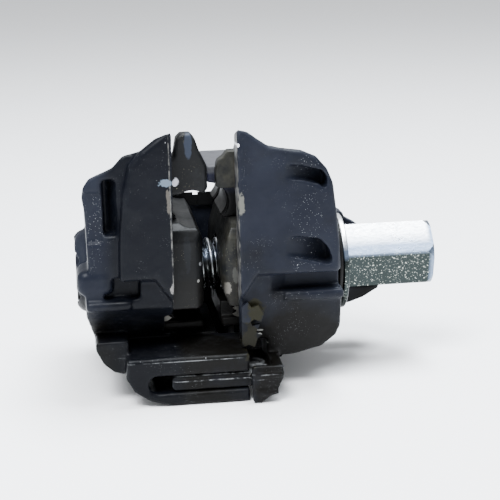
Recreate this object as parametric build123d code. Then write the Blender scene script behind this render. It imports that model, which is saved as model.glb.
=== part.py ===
from build123d import *
import math
import os

# Insulation piercing connector with one clamp bolt, jaws shown open.
# Millimetres. +X runs along the bolt from its head to the nut, +Y along the cables, +Z up.
# The pieces are drawn from the head side jaw's parting face (X = 0) and the bolt's axis (Y = 0),
# and written with the origin moved to the middle of the whole connector's footprint.

# ---- driving dimensions -------------------------------------------------------------------
bolt_z = 22.2            # height of the bolt's axis
thread_d = 8.0           # M8
hex_af = 13.0            # across flats of the bolt head and of the shear nut
jaw_gap = 13.1           # distance between the two parting faces
close_travel = 3.2       # how far the nut side jaw can still close
running_gap = 0.3        # gap between bodies that move past each other

half_depth = 20.0        # the jaws' cores run from -half_depth to +half_depth in Y
plate_front = -22.0      # front face of the smooth cheek plates
plate_back = -16.5
peak_z = 53.8            # top of the cheek plates, at their front face
rear_fall = 0.27         # how steeply the jaws' tops fall towards the rear
rear_top_z = 40.0        # top of the jaws at the rear
ledge_z = 20.9           # top of the ledge across each jaw, at bolt height
ledge_drop = 1.9
belly_z = 9.7            # underside of the head side jaw, and top of the guide arm

main_z = 37.2            # axis of the main cable channel
main_r = 4.0
channel_inset = 0.6      # from a parting face to the bottom of its main groove
tap_z = 14.6             # axis of the tap cable channel
tap_r = 2.2

head_x = -17.0           # outer face of the head side jaw
boss_x = -19.0           # end of the boss round the bolt head
boss_r = 8.6
nut_boss_x = 34.9        # end of the nut side jaw's boss, where the ring and the washer sit
nut_boss_r = 9.6
ring_t = 0.9
washer_t = 1.2
washer_d = 20.0
washer_drop = 0.9        # the washer's wide hole lets it hang below the bolt's axis
nut_len = 18.6
nut_turn = 46            # angle of the shear nut's corners
face_gap = 0.05          # between faces that turn on each other
bolt_end_x = 44.6

arm_front = -24.0        # guide arm of the head side jaw
arm_back = -9.0
arm_tip_x = 14.2
slot_low_z = 2.5
slot_high_z = 6.1
slot_end_x = -5.7
slot_free = 4.6          # slot length left open by the tongue

fin_front = 16.4         # fin of the nut side jaw, at the rear
fin_back = 19.6
fin_low = 19.0
fin_high = 33.1
low_fin_x = 6.4          # lower fin, behind the tap channel
low_fin_front = 15.7
low_fin_back = 17.2
low_fin_high = 18.7

lip_front = -16.4        # upper seals, one in front of the other
lip_middle = -13.2
lip_gap = 0.4
lip_back = -9.6
middle_seal_y = 15.4     # middle seals
middle_low_z = 16.9
middle_high_z = 34.0
seal_seat = 1.6          # depth of the seat behind the parting faces

wire_d = 1.15            # return spring
spring_mean_d = 9.9
spring_turns = 9

blade_t = 1.6            # contact blades
blade_y = 7.6


# ---- shape helpers ------------------------------------------------------------------------
def outline(points, radius=0.0, corner=lambda x: True):
    """Closed outline, with the corners that corner() picks by their X rounded."""
    face = make_face(Polyline(*points, close=True))
    return fillet([v for v in face.vertices() if corner(v.X)], radius) if radius else face


def front_plane(y):
    return Plane(origin=(0, y, 0), x_dir=(1, 0, 0), z_dir=(0, -1, 0))


def prism(points, y0, y1, radius=0.0, corner=lambda x: True):
    """Outline given in X and Z, from y0 to y1."""
    return extrude(front_plane(y1) * outline(points, radius, corner), amount=y1 - y0)


def falling_prism(points, y0, y1, radius=0.0, corner=lambda x: True):
    """Outline given in X and Z at plate_front, sinking by rear_fall on its way to the rear."""
    face = front_plane(plate_front) * outline(points, radius, corner)
    rear = Pos(0, y1 - plate_front, -rear_fall * (y1 - plate_front)) * face
    length = (y1 - y0) * math.hypot(1, rear_fall)
    return extrude(rear, amount=length, dir=(0, -1, rear_fall))


def plan_prism(points, z0, z1, radius=0.0, corner=lambda x: True):
    """Outline given in X and Y, from z0 to z1."""
    return extrude(Plane.XY.offset(z0) * outline(points, radius, corner), amount=z1 - z0)


def side_prism(points, x0, x1, radius=0.0):
    """Outline given in Y and Z, from x0 to x1."""
    plane = Plane(origin=(x0, 0, 0), x_dir=(0, 1, 0), z_dir=(1, 0, 0))
    return extrude(plane * outline(points, radius), amount=x1 - x0)


def block(x0, x1, y0, y1, z0, z1, radius=0.0):
    box = Pos(x0, y0, z0) * Box(x1 - x0, y1 - y0, z1 - z0, align=(Align.MIN,) * 3)
    return fillet(box.edges(), radius) if radius else box


def rod(x0, x1, radius, y=0.0, z=bolt_z):
    along_x = Cylinder(radius, x1 - x0, align=(Align.CENTER, Align.CENTER, Align.MIN))
    return Pos(x0, y, z) * Rot(0, 90, 0) * along_x


def channel(y0, y1, radius, x, z):
    along_y = Cylinder(radius, y1 - y0, align=(Align.CENTER, Align.CENTER, Align.MIN))
    return Pos(x, y0, z) * Rot(-90, 0, 0) * along_y


def main_channel(side):
    """The main groove of one jaw, through its whole depth."""
    face_x = 0.0 if side > 0 else jaw_gap
    inset = main_r + channel_inset
    return channel(-half_depth - 3, half_depth + 3, main_r, face_x + side * inset, main_z)


def hexagon_rod(x0, x1, across_flats, turn=0.0):
    plane = Plane(origin=(x0, 0, bolt_z), x_dir=(0, 1, 0), z_dir=(1, 0, 0))
    hexagon = RegularPolygon(across_flats / 2, 6, major_radius=False, rotation=turn)
    return extrude(plane * hexagon, amount=x1 - x0)


pieces = {}


def keep(shape, name):
    pieces[name] = shape


# ---- contact blades -----------------------------------------------------------------------
def blade(side, y):
    """Toothed blade joining the main channel to the tap channel, in one jaw.

    side is +1 in the head side jaw, whose parting face is at X = 0, and -1 in the other.
    """
    face_x = 0.0 if side > 0 else jaw_gap
    spine_in, spine_out, tip = 5.6, 2.4, 0.3
    tooth = 0.9

    def at(inward, z):
        return (face_x + side * inward, z)

    def teeth(z0, z1, count):
        step = (z1 - z0) / count
        points = []
        for i in range(count):
            points += [at(tip - tooth, z0 + i * step), at(tip, z0 + (i + 0.5) * step)]
        return points + [at(tip - tooth, z1)]

    low, middle_low = tap_z - tap_r + 0.3, tap_z + tap_r - 0.3
    middle_high, top = main_z - main_r + 1.0, main_z + main_r - 0.6
    points = [at(-spine_in, low)] + teeth(low, middle_low, 3)
    points += [at(-spine_out, middle_low), at(-spine_out, middle_high)]
    points += teeth(middle_high, top, 6) + [at(-spine_in, top)]
    return prism(points, y - blade_t / 2, y + blade_t / 2)


def blade_slot(side, y):
    """Room for one blade inside a jaw or a seal."""
    face_x = 0.0 if side > 0 else jaw_gap
    x_in, x_out = sorted((face_x - side * 5.8, face_x + side * 3.0))
    return block(x_in, x_out, y - blade_t / 2 - 0.1, y + blade_t / 2 + 0.1,
                 tap_z - tap_r + 0.2, main_z + main_r - 0.5)


def cut_blade_slots(shape, side):
    for y in (-blade_y, blade_y):
        shape -= blade_slot(side, y)
    return shape


# ---- head side jaw ------------------------------------------------------------------------
def jaw_core(profile, side, x0, x1, corner):
    """Front outline cut by the side outline, with a top that falls towards the rear."""
    deep = [(x, z if z > ledge_z else z - 2 * peak_z) for x, z in profile]
    core = prism(profile, -half_depth, half_depth, 1.1, corner)
    core &= falling_prism(deep, -half_depth, half_depth, 1.1, corner)
    return core & side_prism(side, x0, x1)


def head_side_jaw():
    top = [(0, peak_z), (-2.4, 52.9), (-5.3, 50.7)]
    outer = [(-8.7, 49.9), (-10.7, 47.8), (-15.3, 45.8), (-16.5, 44.1), (-16.9, 42.0), (-16.4, 38.3),
             (-16.2, 24.6), (head_x, 23.4), (-17.3, 18.4), (-15.9, 12.0), (-14.5, belly_z)]
    side = [(-half_depth, ledge_z - ledge_drop), (-half_depth, peak_z + 1), (plate_back, peak_z + 1),
            (5.0, 44.0), (half_depth, rear_top_z - 1), (half_depth, ledge_z), (13.5, belly_z),
            (-9.3, belly_z)]
    jaw = jaw_core([(0, belly_z)] + top + outer, side, -20, 0, lambda x: x < -10)

    lower = [(-7.6, 48.0), (-9.0, 43.0), (-9.9, 35.0), (-10.4, 25.1), (-3.4, 25.1), (0, 20.2)]
    plate = [(0.7, peak_z)] + top[1:] + lower
    cheek = falling_prism(plate, plate_front, plate_back)
    jaw += fillet([e for e in cheek.edges().group_by(Axis.Y)[0] if e.center().X < -0.9], 1.2)

    # groove and panel of the front face beside the cheek plate, recess and ledge under it
    groove = [(-12.9, -23), (-12.9, -15.5), (-11.8, -15.5), (-9.8, -20.8), (-9.8, -23)]
    jaw -= plan_prism(groove, 33.8, 44.8)
    jaw -= block(-17.6, -13.2, -half_depth - 1, -half_depth + 0.8, 32.4, 42.6, 0.3)
    jaw -= block(-13.6, -6.4, -half_depth - 1, -17.4, ledge_z, 25.3, 0.6)
    jaw += block(head_x, -8.2, -half_depth - 1.1, -17, ledge_z - ledge_drop, ledge_z, 0.7)
    # bulges at the outer end: beside the bolt head, and low beside the guide arm
    jaw += block(-18.5, -11.6, -half_depth - 0.3, -11, 21.9, 27.0, 1.7)
    bulge = [(-15.5, 12.3), (-15.6, 10.8), (-14.1, 7.8), (-12.2, 6.0), (-9.4, 5.4), (-9.0, 12.3)]
    jaw += prism(bulge, -19.5, arm_back, 0.8)
    # pockets that lighten the rear face
    jaw -= block(-14.6, -3.0, 16.5, half_depth + 1, 24.8, 28.6, 0.8)
    jaw -= block(-9.0, -3.0, 16.5, half_depth + 1, 30.4, 34.6, 0.8)

    # boss round the bolt head, with its hexagonal socket
    boss = rod(boss_x, -12, boss_r)
    jaw += fillet(boss.edges().sort_by(Axis.X)[0], 2.8)
    jaw -= hexagon_rod(boss_x - 1, -11.2, hex_af + 0.5, 30)
    jaw -= rod(-12, 1, thread_d / 2 + 0.2)

    # seats of the seals and of the spring, behind the parting face
    jaw -= block(-seal_seat, 1, plate_back, 16.0, belly_z + 1.0, peak_z + 2)
    jaw -= rod(-seal_seat - 1.4, 0, spring_mean_d / 2 + 1.2)
    jaw = cut_blade_slots(jaw, 1)

    # room for the other jaw's fin, which slides in as the jaws close
    jaw -= block(-close_travel - 0.1, 1, fin_front - running_gap, half_depth + 1,
                 fin_low - running_gap, fin_high + running_gap)
    # wall that carries the end cap of the tap channel
    jaw += block(-3.0, 0, 16.0, half_depth + 0.4, belly_z + 0.8, fin_low - 0.4)

    # shelf under the tap channel, and the heel at the rear that the connector stands on
    jaw += block(-1.5, 9.4, arm_back, 12.5, 4.0, belly_z + 0.4)
    heel = prism([(-1.0, belly_z + 0.9), (-13.0, belly_z + 0.9), (-12.4, 4.6), (-8.4, 0), (-1.0, 0)],
                 1.0, 12.5)
    jaw += fillet(heel.edges().filter_by(Axis.Y).sort_by(Axis.Z)[:2], 1.0)
    return jaw + guide_arm()


def guide_arm():
    """Slotted arm that reaches under the other jaw and keeps the two in line."""
    profile = [(-9.6, belly_z), (-10.1, 6.0), (-8.6, 3.2), (-5.6, 1.1), (-1.8, 0),
               (arm_tip_x, 0), (arm_tip_x, belly_z)]
    arm = prism(profile, arm_front, arm_back)
    arm += prism([(-14.3, belly_z + 1), (-13.0, 6.2), (-9.6, 5.0), (-1.0, 5.0), (-1.0, belly_z + 1)],
                 arm_back - 0.5, 2.0)
    middle = (slot_low_z + slot_high_z) / 2
    radius = (slot_high_z - slot_low_z) / 2
    arm -= channel(arm_front - 1, arm_back + 1, radius, slot_end_x + radius, middle)
    arm -= block(slot_end_x + radius, arm_tip_x + 1, arm_front - 1, arm_back + 1,
                 slot_low_z, slot_high_z)
    mark = block(-0.6, 1.6, arm_front + 2.4, arm_front + 8.4, belly_z - 0.35, belly_z + 1)
    return arm - mark


def head_upper_seal():
    """Finger that stands up from the groove, clear of the cheek plate at its top."""
    finger = [(-seal_seat, 40.2), (-seal_seat, 47.2), (1.2, 48.2), (1.9, 51.6), (2.8, 52.5),
              (4.7, 52.5), (5.6, 51.4), (6.3, 49.2), (7.8, 45.8), (7.8, 41.4), (6.8, 40.2)]
    lip = prism(finger, lip_front, lip_middle, 0.35, lambda x: x > 0)
    front = lip.faces().sort_by(Axis.Y)[0]
    lip = fillet([e for e in front.edges() if e.center().X > 1.9 and e.center().Z > 41], 0.8)
    return lip - main_channel(1)


def middle_seal(side, nose):
    """Block between the two channels, bored for the spring. nose is (reach, height) points."""
    face_x = 0.0 if side > 0 else jaw_gap
    back = face_x - side * seal_seat
    tip = face_x + side * max(reach for reach, _ in nose)
    points = [(back, middle_low_z), (back, middle_high_z)]
    points += [(face_x + side * reach, z) for reach, z in nose]
    seal = prism(points, -middle_seal_y, middle_seal_y, 0.8, lambda x: side * (x - face_x) > 0)
    # its end is rounded in plan and domed at the top
    y = middle_seal_y
    seal &= plan_prism([(back, -y), (tip, -y), (tip, y), (back, y)], middle_low_z, middle_high_z,
                       2.4, lambda x: abs(x - tip) < 0.1)
    dome = [(-y, middle_low_z), (-y, 30.6), (-y + 1.0, 32.8), (-y + 3.2, middle_high_z),
            (y, middle_high_z), (y, middle_low_z)]
    seal &= side_prism(dome, min(back, tip), max(back, tip))
    seal -= rod(min(back, face_x) - 8, max(back, face_x) + 8, spring_mean_d / 2 + 1.2)
    return seal - main_channel(side)


def lower_seal(side, reach, top_z):
    """Block under the tap channel."""
    face_x = 0.0 if side > 0 else jaw_gap
    x0, x1 = sorted((face_x - side * seal_seat, face_x + side * reach))
    seal = block(x0, x1, -8.4, 13.0, belly_z + 1.1, top_z, 0.45)
    return cut_blade_slots(seal, side)


def main_boot(side, reach, top_z):
    """Rubber boot round the blade teeth, in the main channel."""
    face_x = 0.0 if side > 0 else jaw_gap
    x0, x1 = sorted((face_x - side * seal_seat, face_x + side * reach))
    boot = block(x0, x1, -9.2, 9.2, middle_high_z, top_z, 0.4)
    return cut_blade_slots(boot - main_channel(side), side)


def tap_boot():
    """Rubber boot with the groove that holds the tap cable."""
    boot = block(-seal_seat, 2.4, -8.4, 13.0, tap_z - tap_r, middle_low_z)
    boot -= channel(-12, 16, tap_r, tap_r + 0.4, tap_z)
    boot -= rod(-seal_seat - 1, 3, spring_mean_d / 2 + 1.2)
    return cut_blade_slots(boot, 1)


def rear_seal(side, reach):
    """Collar of the main channel at the rear."""
    face_x = 0.0 if side > 0 else jaw_gap
    x0, x1 = sorted((face_x - side * seal_seat, face_x + side * reach))
    collar = block(x0, x1, 9.4, 15.9, middle_high_z, rear_top_z + 0.2, 0.4)
    return collar - main_channel(side)


# ---- nut side jaw -------------------------------------------------------------------------
def nut_side_jaw():
    back_x = jaw_gap
    top = [(back_x, peak_z), (15.2, 53.4), (19.0, 50.6), (25.4, 49.4), (28.4, 48.1), (30.6, 45.6),
           (31.7, 42.8), (32.5, 36.3)]
    profile = [(back_x, belly_z + 0.9)] + top + [
        (33.4, 26.5), (34.1, 18.6), (33.9, 13.8), (32.6, 10.4), (29.8, 8.0), (24.0, 6.5), (18.6, 6.5),
        (18.6, belly_z + 0.9)]
    side = [(-half_depth, ledge_z - ledge_drop), (-half_depth, peak_z + 1), (plate_back, peak_z + 1),
            (5.0, 44.0), (half_depth, rear_top_z - 1), (half_depth, ledge_z), (13.5, 6.5),
            (-16.5, 6.5)]
    jaw = jaw_core(profile, side, back_x, 36, lambda x: x > 22)

    plate = [(back_x, ledge_z - 1.0)] + top + [(33.0, 30.0), (32.8, 24.9), (16.4, 24.9)]
    cheek = falling_prism(plate, plate_front, plate_back)
    jaw += fillet([e for e in cheek.edges().group_by(Axis.Y)[0] if e.center().X > 14.2], 1.0)

    # two scoops that deepen outwards leave three lobes
    deepening = [(22.0, plate_front - 0.1), (30.5, -17.2), (35, -17.2), (35, plate_front - 0.1)]
    for scoop in ([(21.5, 46.7), (25.3, 46.3), (29.6, 45.0), (30.5, 43.6), (30.3, 41.3), (28.8, 42.4),
                   (26.2, 43.2), (21.5, 43.9)],
                  [(21.5, 32.2), (25.1, 32.3), (28.8, 31.6), (30.6, 29.6), (31.3, 27.2), (31.0, 26.2),
                   (29.0, 26.7), (25.0, 27.8), (21.5, 28.7)]):
        jaw -= prism(scoop, plate_front - 1, -16) & plan_prism(deepening, 20, 50)
    # recess under them, with the ledge across its foot
    hollow = [(16.8, plate_front - 0.1), (22.6, -16.9), (36, -16.9), (36, plate_front - 0.1)]
    jaw -= plan_prism(hollow, ledge_z, 24.5)
    jaw += block(21.8, 33.8, -half_depth - 1.0, -16.5, ledge_z - ledge_drop, ledge_z, 0.6)
    # pockets that lighten the rear face
    for low, high in ((24.8, 28.6), (30.4, 34.6)):
        jaw -= block(back_x + 3.0, 29.0, 16.5, half_depth + 1, low, high, 0.8)

    boss = rod(30, nut_boss_x, nut_boss_r)
    jaw += fillet(boss.edges().sort_by(Axis.X)[-1], 0.8)
    jaw += nut_shroud()
    for z in (bolt_z, bolt_z - washer_drop):
        jaw -= rod(nut_boss_x, 60, washer_d / 2 + 0.6, z=z)

    jaw -= block(back_x - 1, back_x + seal_seat, plate_back, 16.0, belly_z + 1.0, peak_z + 2)
    jaw -= rod(back_x, back_x + seal_seat + 1.4, spring_mean_d / 2 + 1.2)
    jaw -= rod(back_x, nut_boss_x + 1, thread_d / 2 + running_gap)
    jaw = cut_blade_slots(jaw, -1)

    # fins at the rear: one slides into the other jaw and covers the gap behind the bolt,
    # the lower one covers the gap behind the tap channel
    jaw += block(1.0, back_x + 1, fin_front, fin_back, fin_low, fin_high, 0.4)
    jaw += block(low_fin_x, back_x + 6, low_fin_front, low_fin_back, 0.4, low_fin_high)

    heel = prism([(back_x + 1, belly_z + 0.9), (back_x + 1, 0), (24.0, 0), (27.5, 4.6), (27.5, 8.0)],
                 1.0, low_fin_back)
    jaw += fillet(heel.edges().filter_by(Axis.Y).sort_by(Axis.Z)[:2], 1.0)
    # room for the guide arm
    jaw -= block(back_x - 1, 18.6, arm_front - 1, arm_back + running_gap, -1, belly_z + running_gap)
    return jaw + guide_foot()


def nut_shroud():
    """Wall behind the washer and the nut, so that a spanner stays in line."""
    wall = [(32.0, 30.5), (37.9, 30.3), (39.2, 29.7), (39.6, 28.4), (42.1, 26.9), (45.5, 23.9),
            (47.4, 19.5), (47.6, 15.0), (46.6, 12.6), (43.4, 10.8), (40.3, 9.7), (32.0, 9.4)]
    shroud = prism(wall, 7.0, 13.4, 0.3)
    return fillet([e for e in shroud.faces().sort_by(Axis.Y)[-1].edges() if e.center().X > 32.5], 1.2)


def guide_foot():
    """Tongue in the arm's slot, and the foot round the arm's tip that carries it."""
    end_x, right = 18.6, 20.8
    front = arm_front - running_gap - 1.3
    tip = slot_end_x + slot_free
    gap = running_gap
    tongue = block(tip, end_x + 1, arm_front + 0.6, arm_back, slot_low_z + gap, slot_high_z - gap)
    tip_edges = tongue.edges().filter_by(Axis.Y).sort_by(Axis.X)[:2]
    tongue = fillet(tip_edges, 0.9)
    rib = block(tip + 0.8, end_x + 1, arm_front + 0.2, arm_front + 0.8, slot_low_z + 1.9,
                slot_low_z + 2.6)
    wall = block(end_x, right, front, arm_back, 0, 7.4)
    cheek = prism([(14.5, 0), (16.4, 0), (19.4, 2.2), (right, 5.0), (right, 7.4), (14.5, 7.4)],
                  front, arm_front - gap)
    wall -= prism([(16.3, -0.1), (19.4, 2.2), (right, 5.0), (right + 1, 5.0), (right + 1, -0.1)],
                  front - 1, arm_back + 1)
    ridges = block(15.2, right, front - 0.5, front + 0.3, 5.2, 6.2, 0.2)
    ridges += block(15.6, 19.6, front - 0.5, front + 0.3, 1.5, 2.3, 0.2)
    return tongue + rib + wall + cheek + ridges


def nut_upper_seal():
    back = jaw_gap + seal_seat
    finger = [(back, 40.6), (back, 48.0), (12.2, 48.0), (11.3, 46.9), (10.3, 46.2), (9.9, 45.2),
              (9.7, 40.6)]
    lip = prism(finger, lip_middle + lip_gap, lip_back, 0.35, lambda x: x < jaw_gap)
    return lip - main_channel(-1)


# ---- bolt, nut, washer, ring, spring --------------------------------------------------------
def clamp_bolt():
    head = hexagon_rod(-16.6, -11.3, hex_af, 30)
    head &= fillet(rod(-16.6, -11.3, hex_af / 2 * 1.15).edges().sort_by(Axis.X)[0], 0.8)
    shank = rod(-12, bolt_end_x, thread_d / 2)
    return head + chamfer(shank.edges().sort_by(Axis.X)[-1], 0.7)


def nut_start_x():
    return nut_boss_x + ring_t + washer_t + 2 * face_gap


def shear_nut():
    start = nut_start_x()
    end = start + nut_len
    corner_r = hex_af / math.sqrt(3)
    body = hexagon_rod(start, end, hex_af, nut_turn)
    blank = rod(start, end, corner_r)
    blank = chamfer(blank.edges().sort_by(Axis.X)[-1], 1.5, 0.7)
    blank = fillet(blank.edges().sort_by(Axis.X)[0], 0.5)
    body &= blank
    bore = rod(start - 1, bolt_end_x + 1.0, thread_d / 2 + 0.05)
    relief = rod(bolt_end_x + 0.9, end + 1, thread_d / 2 + 0.6)
    return body - bore - relief


def flat_washer():
    start = nut_boss_x + ring_t + face_gap
    centre = bolt_z - washer_drop
    disc = rod(start, start + washer_t, washer_d / 2, z=centre)
    disc = fillet(disc.edges(), 0.35)
    return disc - rod(start - 1, start + washer_t + 1, thread_d / 2 + washer_drop + 0.2, z=centre)


def bolt_seal_ring():
    ring = rod(nut_boss_x, nut_boss_x + ring_t, washer_d / 2 + 0.15)
    return ring - rod(nut_boss_x - 1, nut_boss_x + 2, thread_d / 2 + 0.35)


def return_spring():
    start = -seal_seat - 1.4 + wire_d / 2
    end = jaw_gap + seal_seat + 1.4 - wire_d / 2
    length = end - start
    path = Helix(length / spring_turns, length, spring_mean_d / 2, center=(0, 0, 0))
    coil = sweep(Plane(path @ 0, z_dir=path % 0) * Circle(wire_d / 2), path=path)
    return Pos(start, 0, bolt_z) * Rot(0, 90, 0) * coil


def tap_end_cap():
    """Cap that closes the far end of the tap channel."""
    cap = block(0, 9.2, low_fin_back + running_gap, half_depth + 1.2, belly_z + 1.2, 18.4, 0.9)
    return cap - channel(15, half_depth - 0.6, tap_r, tap_r + 0.4, tap_z)


# ---- all the pieces -------------------------------------------------------------------------
keep(head_side_jaw(), "head_side_jaw")
keep(head_upper_seal(), "head_upper_seal")
keep(middle_seal(1, [(5.0, middle_high_z), (6.6, 31.4), (6.6, 17.9), (5.6, middle_low_z)]),
     "head_middle_seal")
keep(lower_seal(1, 6.8, tap_z - tap_r), "head_lower_seal")
keep(main_boot(1, 4.2, main_z + 5.6), "head_main_boot")
keep(tap_boot(), "head_tap_boot")
keep(rear_seal(1, 4.4), "head_rear_seal")
keep(blade(1, -blade_y), "head_front_blade")
keep(blade(1, blade_y), "head_rear_blade")

keep(nut_side_jaw(), "nut_side_jaw")
keep(nut_upper_seal(), "nut_upper_seal")
keep(middle_seal(-1, [(0.5, middle_high_z), (1.6, 31.1), (2.5, 28.5), (2.9, 25.0), (2.9, 21.5),
                      (1.6, middle_low_z)]), "nut_middle_seal")
keep(lower_seal(-1, 2.6, tap_z + 1.2), "nut_lower_seal")
keep(main_boot(-1, 4.7, main_z + 7.4), "nut_main_boot")
keep(rear_seal(-1, 4.0), "nut_rear_seal")
keep(blade(-1, -blade_y), "nut_front_blade")
keep(blade(-1, blade_y), "nut_rear_blade")

keep(clamp_bolt(), "clamp_bolt")
keep(tap_end_cap(), "tap_end_cap")
keep(return_spring(), "return_spring")
keep(bolt_seal_ring(), "bolt_seal_ring")
keep(flat_washer(), "flat_washer")
keep(shear_nut(), "shear_nut")

# ---- write every piece, with the origin in the middle of the footprint ------------------------
box = Compound(children=[Compound(shape.solids()) for shape in pieces.values()]).bounding_box()
origin = Vector(box.center().X, box.center().Y, box.min.Z)
print("origin at", origin.X, origin.Y, origin.Z)

os.makedirs("parts", exist_ok=True)
for name, shape in pieces.items():
    moved = Pos(-origin.X, -origin.Y, -origin.Z) * Compound(shape.solids())
    moved.label = name
    export_step(moved, f"parts/{name}.step")
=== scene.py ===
import math
import bmesh
import bpy
from mathutils import Matrix, Vector


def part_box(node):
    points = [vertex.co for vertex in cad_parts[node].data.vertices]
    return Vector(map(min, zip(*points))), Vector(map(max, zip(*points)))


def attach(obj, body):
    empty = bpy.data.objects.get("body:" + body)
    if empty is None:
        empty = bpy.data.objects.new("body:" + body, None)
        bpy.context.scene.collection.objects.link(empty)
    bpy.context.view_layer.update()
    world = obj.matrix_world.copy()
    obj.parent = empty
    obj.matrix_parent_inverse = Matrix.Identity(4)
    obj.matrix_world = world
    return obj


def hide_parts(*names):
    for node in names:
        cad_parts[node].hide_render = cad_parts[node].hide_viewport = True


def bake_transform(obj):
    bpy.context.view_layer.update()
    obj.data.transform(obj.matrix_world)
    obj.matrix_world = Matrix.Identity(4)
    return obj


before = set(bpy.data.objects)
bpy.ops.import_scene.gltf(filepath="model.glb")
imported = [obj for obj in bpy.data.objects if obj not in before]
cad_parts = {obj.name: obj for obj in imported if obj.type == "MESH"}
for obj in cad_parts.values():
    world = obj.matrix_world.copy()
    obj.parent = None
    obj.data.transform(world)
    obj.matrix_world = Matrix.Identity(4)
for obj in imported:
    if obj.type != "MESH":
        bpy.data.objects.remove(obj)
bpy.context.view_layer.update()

MM = 0.001

# ---- places, read from the frame ----------------------------------------------------------
# lengths below are in millimetres from the head side jaw's parting face and the bolt's axis
nut_end_x = 55.7
head_face_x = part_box("shear_nut")[1].x - nut_end_x * MM
ring_lo, ring_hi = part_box("bolt_seal_ring")
bolt_y = (ring_lo.y + ring_hi.y) / 2
bolt_z = (ring_lo.z + ring_hi.z) / 2
spring_start, spring_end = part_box("return_spring")[0].x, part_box("return_spring")[1].x
bolt_start, bolt_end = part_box("clamp_bolt")[0].x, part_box("clamp_bolt")[1].x
jaw_gap = 13.1
thread_r = 4.0 * MM
thread_pitch = 1.25 * MM
spring_r = 4.95 * MM
wire_r = 0.55 * MM


# ---- camera -------------------------------------------------------------------------------
def make_camera():
    azimuth, elevation, roll = math.radians(-7.0), math.radians(14.0), math.radians(1.5)
    distance = 0.300
    target = Vector((head_face_x + 17.77 * MM, bolt_y, 24.56 * MM))
    back = Vector((math.sin(azimuth) * math.cos(elevation),
                   -math.cos(azimuth) * math.cos(elevation), math.sin(elevation)))
    level = Vector((math.cos(azimuth), math.sin(azimuth), 0.0))
    upright = back.cross(level)
    right = level * math.cos(roll) - upright * math.sin(roll)
    up = level * math.sin(roll) + upright * math.cos(roll)
    data = bpy.data.cameras.new("camera")
    data.sensor_width = 36.0
    data.lens = 103.0
    camera = bpy.data.objects.new("camera", data)
    bpy.context.collection.objects.link(camera)
    rotation = Matrix((right, up, back)).transposed().to_4x4()
    camera.matrix_world = Matrix.Translation(target + back * distance) @ rotation
    bpy.context.scene.camera = camera


# ---- floor and light ----------------------------------------------------------------------
def area_light(name, place, aim, size, power, colour=(1, 1, 1)):
    data = bpy.data.lights.new(name, "AREA")
    data.shape = "RECTANGLE"
    data.size, data.size_y = size
    data.energy = power
    data.color = colour
    lamp = bpy.data.objects.new(name, data)
    bpy.context.collection.objects.link(lamp)
    lamp.location = place
    lamp.rotation_euler = (Vector(aim) - Vector(place)).to_track_quat("-Z", "Y").to_euler()


def make_studio():
    bm = bmesh.new()
    bmesh.ops.create_grid(bm, x_segments=1, y_segments=1, size=3.0)
    mesh = bpy.data.meshes.new("floor")
    bm.to_mesh(mesh)
    bm.free()
    floor = bpy.data.objects.new("floor", mesh)
    bpy.context.collection.objects.link(floor)
    floor.location.z = -0.0002
    material = bpy.data.materials.new("floor")
    material.use_nodes = True
    shader = material.node_tree.nodes["Principled BSDF"]
    shader.inputs["Base Color"].default_value = (0.86, 0.86, 0.87, 1)
    shader.inputs["Roughness"].default_value = 0.9
    shader.inputs["Specular IOR Level"].default_value = 0.1
    mesh.materials.append(material)

    world = bpy.data.worlds.new("world")
    world.use_nodes = True
    world.node_tree.nodes["Background"].inputs["Color"].default_value = (0.95, 0.975, 1.0, 1)
    world.node_tree.nodes["Background"].inputs["Strength"].default_value = 1.0
    bpy.context.scene.world = world

    middle = (0.0, 0.0, 0.027)
    area_light("key", (-0.14, -0.22, 0.44), middle, (0.22, 0.22), 7.0, (0.94, 0.97, 1.0))
    area_light("top", (0.10, 0.05, 0.50), middle, (0.30, 0.20), 9.0, (0.90, 0.95, 1.0))


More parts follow.
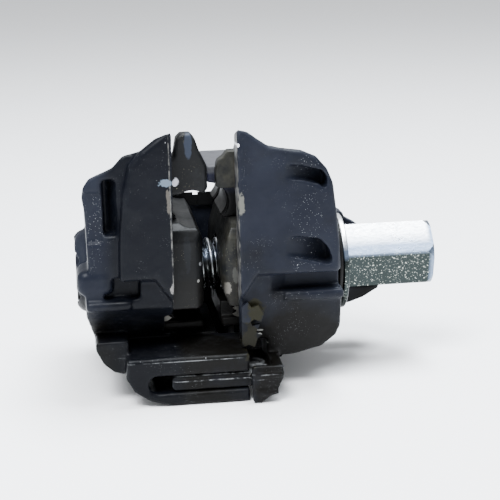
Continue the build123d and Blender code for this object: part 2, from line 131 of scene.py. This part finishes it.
# ---- node helpers -------------------------------------------------------------------------
class Shader:
    """A material being built: small wrappers that keep the node code short."""

    def __init__(self, name):
        self.material = bpy.data.materials.new(name)
        self.material.use_nodes = True
        self.tree = self.material.node_tree
        self.main = self.tree.nodes["Principled BSDF"]
        self.object = self.tree.nodes.new("ShaderNodeTexCoord").outputs["Object"]

    def link(self, source, target):
        self.tree.links.new(source, target)

    def node(self, kind, **settings):
        made = self.tree.nodes.new(kind)
        for key, value in settings.items():
            setattr(made, key, value)
        return made

    def stretched(self, scale):
        mapping = self.node("ShaderNodeMapping")
        mapping.inputs["Scale"].default_value = scale
        self.link(self.object, mapping.inputs["Vector"])
        return mapping.outputs["Vector"]

    def noise(self, scale, detail=4.0, roughness=0.55, vector=None):
        made = self.node("ShaderNodeTexNoise")
        made.inputs["Scale"].default_value = scale
        made.inputs["Detail"].default_value = detail
        made.inputs["Roughness"].default_value = roughness
        self.link(vector or self.object, made.inputs["Vector"])
        return made.outputs["Fac"]

    def cells(self, scale, feature="F1", vector=None):
        made = self.node("ShaderNodeTexVoronoi", feature=feature)
        made.inputs["Scale"].default_value = scale
        self.link(vector or self.object, made.inputs["Vector"])
        return made

    def ramp(self, source, low, high, low_value=0.0, high_value=1.0):
        made = self.node("ShaderNodeMapRange")
        made.inputs["From Min"].default_value = low
        made.inputs["From Max"].default_value = high
        made.inputs["To Min"].default_value = low_value
        made.inputs["To Max"].default_value = high_value
        self.link(source, made.inputs["Value"])
        return made.outputs["Result"]

    def math(self, operation, a, b):
        made = self.node("ShaderNodeMath", operation=operation)
        for socket, value in zip(made.inputs, (a, b)):
            if isinstance(value, (int, float)):
                socket.default_value = value
            else:
                self.link(value, socket)
        return made.outputs["Value"]

    def mix(self, factor, a, b):
        made = self.node("ShaderNodeMix", data_type="RGBA")
        if isinstance(factor, (int, float)):
            made.inputs["Factor"].default_value = factor
        else:
            self.link(factor, made.inputs["Factor"])
        for socket, value in ((made.inputs["A"], a), (made.inputs["B"], b)):
            if isinstance(value, tuple):
                socket.default_value = (*value, 1.0)
            else:
                self.link(value, socket)
        return made.outputs["Result"]

    def bump(self, height, distance, strength=1.0, below=None):
        made = self.node("ShaderNodeBump")
        made.inputs["Distance"].default_value = distance
        made.inputs["Strength"].default_value = strength
        self.link(height, made.inputs["Height"])
        if below is not None:
            self.link(below, made.inputs["Normal"])
        return made.outputs["Normal"]

    def edges(self, low, high):
        """1 on convex edges, 0 elsewhere."""
        geometry = self.node("ShaderNodeNewGeometry")
        return self.ramp(geometry.outputs["Pointiness"], low, high)

    def axis(self, name):
        if "XYZ" not in self.__dict__:
            self.XYZ = self.node("ShaderNodeSeparateXYZ")
            self.link(self.object, self.XYZ.inputs["Vector"])
        return self.XYZ.outputs[name]

    def front(self):
        """1 on what faces the cable's near end, 0 deeper in."""
        return self.ramp(self.axis("Y"), bolt_y - 14.0 * MM, bolt_y - 16.0 * MM)

    def patch(self, x, z, half_x, half_z, ragged=0.5, scale=700.0):
        """1 inside a ragged patch on the front, 0 outside."""
        across = self.ramp(self.axis("X"), head_face_x + (x - half_x) * MM,
                           head_face_x + (x + half_x) * MM, -1.0, 1.0)
        along = self.ramp(self.axis("Z"), (z - half_z) * MM, (z + half_z) * MM, -1.0, 1.0)
        for value in (across, along):
            value.node.clamp = False
        far = self.math("ADD", self.math("MULTIPLY", across, across),
                        self.math("MULTIPLY", along, along))
        rough = self.ramp(self.noise(scale, 5.0, 0.65), 0.3, 0.7, -ragged, ragged)
        inside = self.ramp(self.math("ADD", far, rough), 1.0, 0.65)
        return self.math("MULTIPLY", inside, self.front())

    def specks(self, scale, size, chosen):
        """Small bright grains where chosen is 1."""
        grains = self.cells(scale)
        spot = self.ramp(grains.outputs["Distance"], size, size * 0.4)
        return self.math("MULTIPLY", spot, chosen)


# ---- materials ----------------------------------------------------------------------------
def black_nylon():
    s = Shader("black_nylon")
    clouds = s.noise(90.0, 5.0)
    fine = s.noise(900.0, 3.0)
    base = s.mix(s.ramp(clouds, 0.35, 0.65), (0.0050, 0.0062, 0.0108), (0.0090, 0.0108, 0.0170))
    # painted shade: the lower parts darker and browner towards the bottom, with a ragged border
    low = s.math("ADD", s.ramp(s.axis("Z"), 0.026, 0.010), s.ramp(s.noise(70.0, 5.0), 0.3, 0.7, -0.5, 0.5))
    base = s.mix(s.ramp(low, 0.1, 0.9), base, (0.0016, 0.0014, 0.0011))
    # the head side's plate is the darkest face
    plate = s.math("MULTIPLY", s.ramp(s.axis("X"), head_face_x + 2 * MM, head_face_x),
                   s.ramp(s.axis("X"), head_face_x - 14 * MM, head_face_x - 11 * MM))
    base = s.mix(s.math("MULTIPLY", plate, 0.85), base, (0.0010, 0.0013, 0.0024))
    bloom = s.noise(170.0, 6.0, 0.7)
    base = s.mix(s.ramp(bloom, 0.52, 0.80, 0.0, 0.22), base, (0.020, 0.021, 0.023))

    # rubbed edges, partly real wear and partly a painted highlight on the convex edges; the broken painted
    # highlight line along both parting edges; and the larger chips and marks
    wear_and_edge_highlight = s.math("MULTIPLY", s.edges(0.52, 0.60), s.ramp(s.noise(420.0, 5.0), 0.45, 0.66))
    base = s.mix(s.math("MULTIPLY", wear_and_edge_highlight, 0.35), base, (0.06, 0.064, 0.07))
    broken = s.ramp(s.noise(520.0, 5.0, 0.7), 0.42, 0.60)
    for edge in (0.0, jaw_gap):
        line = s.patch(edge, 36.0, 0.18, 19.0, 0.1)
        base = s.mix(s.math("MULTIPLY", line, broken), base, (0.10, 0.098, 0.092))
    # painted highlights along the front edge of the guide arm and along the ridges of the tongue: x, z,
    # half_x, half_z
    for x, z, half_x, half_z in ((2.6, 8.95, 16.0, 0.10), (8.0, 5.75, 12.0, 0.20), (8.5, 4.7, 10.0, 0.16)):
        line = s.math("MULTIPLY", s.patch(x, z, half_x, half_z, 0.2), s.front())
        base = s.mix(s.math("MULTIPLY", line, broken), base, (0.11, 0.113, 0.116))
    # x, z, half_x, half_z, colour; the first, bluish light patch near the head side's parting edge is a
    # painted reflection
    for x, z, half_x, half_z, colour in (
            (-1.1, 44.0, 1.3, 0.8, (0.085, 0.11, 0.14)), (-0.4, 40.6, 0.45, 2.2, (0.06, 0.055, 0.048)),
            (13.7, 38.8, 0.7, 2.3, (0.085, 0.085, 0.075)), (13.3, 50.6, 0.25, 0.45, (0.62, 0.62, 0.68)),
            (16.0, 17.2, 2.0, 2.4, (0.010, 0.0095, 0.0050)), (14.9, 11.5, 1.6, 4.0, (0.0075, 0.0070, 0.0040)),
            (17.6, 9.6, 1.2, 0.25, (0.16, 0.16, 0.15)), (17.0, 12.6, 0.9, 0.22, (0.14, 0.14, 0.13)),
            (0.0, 23.0, 0.7, 1.2, (0.14, 0.135, 0.13))):
        base = s.mix(s.patch(x, z, half_x, half_z, 0.9), base, colour)

    # light grains, thickest on the outer lobes of the nut side jaw
    dusty = s.ramp(s.noise(150.0, 4.0), 0.50, 0.66, 0.0, 0.5)
    for x, z, half_x, half_z in ((27.0, 34.5, 3.0, 6.5), (26.5, 26.6, 3.6, 2.0), (27.0, 46.5, 2.5, 2.2),
                                 (26.0, 19.8, 5.0, 1.0), (-14.5, 36.0, 1.6, 6.0)):
        dusty = s.math("MAXIMUM", dusty, s.patch(x, z, half_x, half_z, 0.8, 300.0))
    base = s.mix(s.specks(2900.0, 0.15, dusty), base, (0.34, 0.35, 0.36))
    base = s.mix(s.specks(420.0, 0.035, s.front()), base, (0.50, 0.51, 0.52))
    s.link(base, s.main.inputs["Base Color"])

    rough = s.ramp(clouds, 0.3, 0.7, 0.36, 0.50)
    s.link(s.math("ADD", rough, s.ramp(bloom, 0.5, 0.8, 0.0, 0.14)), s.main.inputs["Roughness"])
    s.main.inputs["Specular IOR Level"].default_value = 0.08

    waves = s.bump(s.noise(160.0, 3.0), 0.00035, 0.5)
    grain = s.bump(fine, 0.00006, 0.5, waves)
    s.link(s.bump(bloom, 0.00008, 0.35, grain), s.main.inputs["Normal"])
    return s.material


def seal_rubber(name, dirt, dirty, shade=1.0, marks=()):
    """Black rubber. marks are ragged patches: (x, z, half_x, half_z, ragged, colour)."""
    s = Shader(name)
    clouds = s.noise(140.0, 5.0)
    base = s.mix(s.ramp(clouds, 0.35, 0.65), tuple(c * shade for c in (0.0030, 0.0034, 0.0042)),
                 tuple(c * shade for c in (0.0075, 0.0080, 0.0085)))
    deep = s.ramp(s.axis("Y"), bolt_y - 12.0 * MM, bolt_y - 6.0 * MM)
    cover = s.ramp(s.noise(260.0, 6.0, 0.65), 0.60 - dirty * 0.3, 0.72, 0.0, 0.25 + dirty * 0.6)
    base = s.mix(s.math("MULTIPLY", cover, s.ramp(deep, 0.0, 1.0, 1.0, 0.25)), base, dirt)
    grains = s.ramp(s.noise(180.0, 4.0), 0.55 - dirty * 0.15, 0.66, 0.0, 0.35 + dirty * 0.5)
    grains = s.math("MULTIPLY", grains, s.front())
    base = s.mix(s.specks(2400.0, 0.17, grains), base, (0.55, 0.53, 0.36))
    # painted shade: darker and browner below this height
    low = s.ramp(s.axis("Z"), 0.0235, 0.0225)
    base = s.mix(s.math("MULTIPLY", low, 0.6), base, (0.0040, 0.0034, 0.0026))
    for x, z, half_x, half_z, ragged, colour in marks:
        base = s.mix(s.patch(x, z, half_x, half_z, ragged), base, colour)
    s.link(base, s.main.inputs["Base Color"])
    s.link(s.ramp(clouds, 0.3, 0.7, 0.42, 0.62), s.main.inputs["Roughness"])
    s.main.inputs["Specular IOR Level"].default_value = 0.14
    soft = s.bump(s.noise(300.0, 4.0), 0.00015, 0.5)
    s.link(s.bump(s.noise(1500.0, 3.0), 0.00004, 0.6, soft), s.main.inputs["Normal"])
    return s.material


def boot_rubber():
    """The boot behind the upper seals: a painted grey highlight band on top, a painted bluish sky reflection
    above the cable groove, and painted shade in black below.
    """
    s = Shader("boot_rubber")
    base = s.mix(s.ramp(s.axis("Z"), 0.0386, 0.0400), (0.0012, 0.0011, 0.0010), (0.010, 0.011, 0.022))
    base = s.mix(s.ramp(s.axis("Z"), 0.0428, 0.0434), base, (0.045, 0.045, 0.050))
    base = s.mix(s.ramp(s.noise(400.0, 5.0), 0.55, 0.70, 0.0, 0.4), base, (0.004, 0.004, 0.005))
    s.link(base, s.main.inputs["Base Color"])
    s.main.inputs["Roughness"].default_value = 0.5
    s.main.inputs["Specular IOR Level"].default_value = 0.12
    s.link(s.bump(s.noise(600.0, 4.0), 0.0001, 0.5), s.main.inputs["Normal"])
    return s.material


def zinc(name, colour, painted_shade_colour, rough):
    """Zinc plate: bright, with fine pits; a painted highlight band on the upper faces and painted shade with
    light grains on the lower faces.
    """
    s = Shader(name)
    blotches = s.noise(220.0, 6.0, 0.65)
    grain = s.noise(2200.0, 4.0, 0.7, s.stretched((0.45, 1.0, 1.0)))
    # painted highlight above and painted shade below, on the wrench faces only
    sides = s.ramp(s.axis("X"), head_face_x + (nut_end_x - 0.4) * MM, head_face_x + (nut_end_x - 1.2) * MM)
    lower = s.math("MULTIPLY", sides, s.ramp(s.axis("Z"), bolt_z + 2.2 * MM, bolt_z + 1.2 * MM))
    base = s.mix(s.ramp(blotches, 0.40, 0.68), colour, tuple(c * 0.8 for c in colour))
    # painted highlight: the upper faces lighter
    upper = s.math("MULTIPLY", sides, s.ramp(s.axis("Z"), bolt_z + 3.2 * MM, bolt_z + 5.6 * MM))
    base = s.mix(upper, base, (0.86, 0.88, 0.90))
    base = s.mix(s.ramp(grain, 0.50, 0.62, 0.0, 0.45), base, (0.22, 0.27, 0.33))
    # painted shade: the lower faces darker, with light grains on them
    base = s.mix(s.math("MULTIPLY", lower, 0.97), base, painted_shade_colour)
    sparkle = s.ramp(s.noise(3000.0, 3.0, 0.6), 0.60, 0.68, 0.0, 0.6)
    base = s.mix(s.math("MULTIPLY", sparkle, lower), base, (0.70, 0.74, 0.66))
    s.link(base, s.main.inputs["Base Color"])
    s.main.inputs["Metallic"].default_value = 1.0
    s.link(s.ramp(blotches, 0.3, 0.7, rough, rough + 0.16), s.main.inputs["Roughness"])
    pits = s.bump(s.noise(900.0, 4.0, 0.6), 0.00005, 0.5)
    s.link(s.bump(grain, 0.00005, 0.5, pits), s.main.inputs["Normal"])
    return s.material


def contact_metal():
    s = Shader("contact_metal")
    tarnish = s.noise(260.0, 5.0)
    base = s.mix(s.ramp(tarnish, 0.4, 0.7), (0.16, 0.155, 0.14), (0.05, 0.046, 0.04))
    s.link(base, s.main.inputs["Base Color"])
    s.main.inputs["Metallic"].default_value = 1.0
    s.link(s.ramp(tarnish, 0.3, 0.7, 0.32, 0.55), s.main.inputs["Roughness"])
    s.link(s.bump(s.noise(800.0, 4.0), 0.00005, 0.5), s.main.inputs["Normal"])
    return s.material


# ---- dressing the CAD nodes -----------------------------------------------------------------
def dress(node, material):
    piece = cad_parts[node]
    piece.data.materials.clear()
    piece.data.materials.append(material)
    return piece


def soften(piece, voxel, rounds, strength=0.0, grain=0.004):
    """Rounds a CAD piece as a moulding is, and roughens it a little."""
    remesh = piece.modifiers.new("mould", "REMESH")
    remesh.mode = "VOXEL"
    remesh.voxel_size = voxel
    remesh.use_smooth_shade = True
    smooth = piece.modifiers.new("round", "SMOOTH")
    smooth.factor = 0.5
    smooth.iterations = rounds
    if strength:
        texture = bpy.data.textures.new(piece.name + "_grain", "CLOUDS")
        texture.noise_scale = grain
        texture.noise_depth = 3
        wobble = piece.modifiers.new("wobble", "DISPLACE")
        wobble.texture = texture
        wobble.strength = strength
        wobble.mid_level = 0.5


def bevel(piece, width):
    rounding = piece.modifiers.new("bevel", "BEVEL")
    rounding.width = width
    rounding.segments = 3
    rounding.limit_method = "ANGLE"
    rounding.angle_limit = math.radians(25)
    for polygon in piece.data.polygons:
        polygon.use_smooth = False


# ---- new pieces: bolt with its thread, spring with closed ends --------------------------------
def grid_mesh(name, rows, material, ends=True):
    """Tube through rings of points, each ring with the same count."""
    bm = bmesh.new()
    rings = [[bm.verts.new(point) for point in row] for row in rows]
    count = len(rings[0])
    for ring, following in zip(rings, rings[1:]):
        for i in range(count):
            j = (i + 1) % count
            bm.faces.new((ring[i], ring[j], following[j], following[i]))
    if ends:
        bm.faces.new(list(reversed(rings[0])))
        bm.faces.new(rings[-1])
    bmesh.ops.recalc_face_normals(bm, faces=bm.faces)
    mesh = bpy.data.meshes.new(name)
    bm.to_mesh(mesh)
    bm.free()
    mesh.polygons.foreach_set("use_smooth", [True] * len(mesh.polygons))
    mesh.materials.append(material)
    piece = bpy.data.objects.new(name, mesh)
    bpy.context.collection.objects.link(piece)
    return piece


def threaded_bolt(material):
    sides, steps = 64, 12
    depth = 0.68 * MM
    chamfer = 0.7 * MM
    head_end = bolt_start + 5.3 * MM
    hexagon = 6.5 * MM
    rows = []

    def ring(x, radius_at):
        row = []
        for i in range(sides):
            angle = 2 * math.pi * i / sides
            radius = radius_at(angle)
            row.append((x, bolt_y + radius * math.cos(angle), bolt_z + radius * math.sin(angle)))
        return row

    def six_sided(angle, inset=0.0):
        return (hexagon - inset) / math.cos((angle % (math.pi / 3)) - math.pi / 6)

    rows.append(ring(bolt_start, lambda a: min(six_sided(a), 6.3 * MM)))
    rows.append(ring(bolt_start + 0.5 * MM, six_sided))
    rows.append(ring(head_end, six_sided))
    rows.append(ring(head_end, lambda a: thread_r * 0.96))
    x = head_end + 1.0 * MM
    while x < bolt_end:
        fade = min(1.0, (bolt_end - x) / chamfer)

        def radius_at(angle, x=x, fade=fade):
            phase = (x / thread_pitch - angle / (2 * math.pi)) % 1.0
            groove = max(0.0, 1.0 - abs(phase - 0.5) / 0.42)
            return min(thread_r - depth * groove, thread_r - chamfer * (1 - fade))

        rows.append(ring(x, radius_at))
        x += thread_pitch / steps
    rows.append(ring(bolt_end, lambda a: thread_r - chamfer))
    return grid_mesh("bolt", rows, material)


def coil_spring(material):
    turns, closed, around, steps = 10.0, 1.0, 14, 40
    dense = 2 * wire_r * 1.03
    length = spring_end - spring_start - 2 * wire_r
    open_pitch = (length - 2 * closed * dense) / (turns - 2 * closed)
    rows = []
    for k in range(int(turns * steps) + 1):
        turn = k / steps
        x = min(turn, closed) * dense + max(0.0, min(turn, turns - closed) - closed) * open_pitch
        x += max(0.0, turn - (turns - closed)) * dense
        angle = 2 * math.pi * turn + 0.6
        out = Vector((0, math.cos(angle), math.sin(angle)))
        centre = Vector((spring_start + wire_r + x, bolt_y, bolt_z)) + out * spring_r
        row = []
        for i in range(around):
            swing = 2 * math.pi * i / around
            row.append(centre + (out * math.cos(swing) + Vector((math.sin(swing), 0, 0))) * wire_r)
        rows.append(row)
    return grid_mesh("spring", rows, material)


def flake(name, points, y, thickness, material, body):
    """Thin ragged piece given by its outline in X and Z, standing at depth y."""
    bm = bmesh.new()
    faces = []
    for depth in (y, y + thickness):
        ring = [bm.verts.new((head_face_x + x * MM, bolt_y + depth * MM, z * MM)) for x, z in points]
        faces.append(ring)
    bm.faces.new(faces[0])
    bm.faces.new(list(reversed(faces[1])))
    for i in range(len(points)):
        j = (i + 1) % len(points)
        bm.faces.new((faces[0][i], faces[0][j], faces[1][j], faces[1][i]))
    bmesh.ops.recalc_face_normals(bm, faces=bm.faces)
    mesh = bpy.data.meshes.new(name)
    bm.to_mesh(mesh)
    bm.free()
    mesh.materials.append(material)
    piece = bpy.data.objects.new(name, mesh)
    bpy.context.collection.objects.link(piece)
    bevel(piece, 0.06 * MM)
    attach(piece, body)
    return piece


# ---- build ------------------------------------------------------------------------------------
make_camera()
make_studio()

nylon = black_nylon()
# marks: a painted highlight down the finger, a white scuff, a painted highlight down the middle seal's front,
# and two small light marks
rubber = seal_rubber("seal_rubber", (0.016, 0.017, 0.019), 0.12, shade=0.5, marks=(
    (4.2, 50.2, 0.8, 3.2, 0.3, (0.017, 0.022, 0.034)), (1.5, 43.2, 0.75, 0.95, 0.7, (0.55, 0.55, 0.60)),
    (3.4, 28.6, 0.8, 4.2, 0.6, (0.007, 0.008, 0.010)), (6.0, 26.0, 0.35, 0.5, 0.6, (0.35, 0.36, 0.37)),
    (5.4, 22.6, 0.3, 0.4, 0.6, (0.30, 0.30, 0.28))))
dusty_rubber = seal_rubber("dusty_rubber", (0.036, 0.034, 0.025), 0.75, marks=(
    (11.3, 20.6, 0.7, 1.5, 1.0, (0.17, 0.16, 0.14)), (12.8, 23.5, 0.6, 1.8, 1.0, (0.05, 0.05, 0.045))))
# the same seal rubber made darker for the seals deep in the channels: painted shade
shaded_inner_rubber = seal_rubber("shaded_inner_rubber", (0.0020, 0.0018, 0.0014), 0.1, 0.3)
# the third colour of each zinc is the painted shade of its lower faces
nut_zinc = zinc("nut_zinc", (0.15, 0.195, 0.275), (0.017, 0.021, 0.018), 0.24)
wire_zinc = zinc("wire_zinc", (0.45, 0.50, 0.58), (0.16, 0.165, 0.16), 0.22)
tinned = contact_metal()

for node in ("head_side_jaw", "nut_side_jaw"):
    soften(dress(node, nylon), 0.36 * MM, 3, 0.22 * MM)
soften(dress("tap_end_cap", nylon), 0.25 * MM, 3)
for node in ("upper_seal", "middle_seal"):
    soften(dress("head_" + node, rubber), 0.22 * MM, 5, 0.1 * MM)
    soften(dress("nut_" + node, dusty_rubber), 0.22 * MM, 5, 0.22 * MM, 0.002)
for node in ("lower_seal", "main_boot", "rear_seal"):
    soften(dress("head_" + node, shaded_inner_rubber), 0.22 * MM, 4, 0.1 * MM)
    soften(dress("nut_" + node, shaded_inner_rubber), 0.22 * MM, 4, 0.1 * MM)
dress("nut_main_boot", boot_rubber())
soften(dress("head_tap_boot", shaded_inner_rubber), 0.2 * MM, 3)
soften(dress("bolt_seal_ring", rubber), 0.2 * MM, 3)
for node in ("head_front_blade", "head_rear_blade", "nut_front_blade", "nut_rear_blade"):
    dress(node, tinned)
for node, width in (("shear_nut", 0.28 * MM), ("flat_washer", 0.2 * MM)):
    bevel(dress(node, nut_zinc), width)

# thin rear lips under the main channel, one behind the other so that they pass when the jaws close;
# the head side's corner is cut away where the nut side's rear seal arrives
lip_low, lip_cut, lip_high = 31.4, 33.8, 34.4
lip_t = 0.13
nut_lip = [(8.4, lip_low), (13.3, lip_low), (13.3, lip_high), (8.4, lip_high)]
head_lip = [(2.2, lip_low), (8.8, lip_low), (8.8, lip_cut), (7.4, lip_cut), (7.4, lip_high), (2.2, lip_high)]
for side, y, points in (("nut_side", 15.42, nut_lip), ("head_side", 15.57, head_lip)):
    flake("rear_lip_" + side, points, y, lip_t, shaded_inner_rubber, side)

# ragged flash on the nut side's lower parting edge
flash_t = 0.9
for name, y, points in (
        ("flash_low", -20.6, [(13.2, 9.9), (14.6, 10.4), (15.7, 9.8), (16.3, 11.6), (17.3, 12.4),
                              (16.1, 13.0), (16.9, 14.6), (15.3, 14.3), (14.6, 16.2), (13.2, 15.0)]),
        ("flash_high", -21.3, [(13.2, 15.4), (14.3, 14.8), (15.6, 15.8), (17.0, 15.2), (17.6, 16.8),
                               (16.6, 18.6), (15.2, 18.2), (14.4, 19.4), (13.3, 18.4)])):
    flake(name, points, y, flash_t, nylon, "nut_side")

bolt = threaded_bolt(wire_zinc)
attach(bolt, "head_side")
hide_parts("clamp_bolt")
spring = coil_spring(wire_zinc)
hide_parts("return_spring")
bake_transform(spring)
